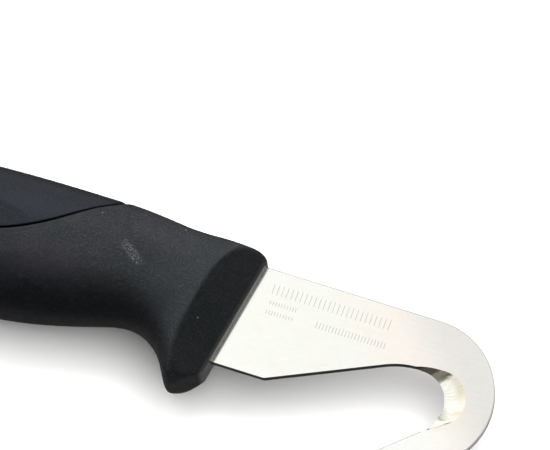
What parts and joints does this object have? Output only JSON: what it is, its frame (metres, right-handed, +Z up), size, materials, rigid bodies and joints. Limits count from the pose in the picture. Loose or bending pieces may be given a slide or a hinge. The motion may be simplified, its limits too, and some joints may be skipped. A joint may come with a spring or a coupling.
{
  "type": "hoof knife",
  "caption": "Fixed-blade hoof knife: flat steel blade ending in a wide U hook sharpened inside its throat, with a soft-over-hard moulded handle and finger guard.",
  "frame": {"origin": "centre of the knife's bounding box, at its lowest point, with the knife lying on its side", "axes": "+X along the blade from the butt towards the hook, +Y towards the blade's spine, +Z up, out of the blade face that carries the grinding bevel"},
  "size_m": [0.1793, 0.0413, 0.0239],
  "materials": {
    "blade_steel": "satin",
    "hard_plastic": "fine matte moulded texture",
    "soft_grip": "soft matte, fine moulded grain"
  },
  "bodies": {
    "root": {"hook_blade": "blade_steel", "handle_core": "hard_plastic", "soft_grip": "soft_grip"}
  },
  "joints": []
}
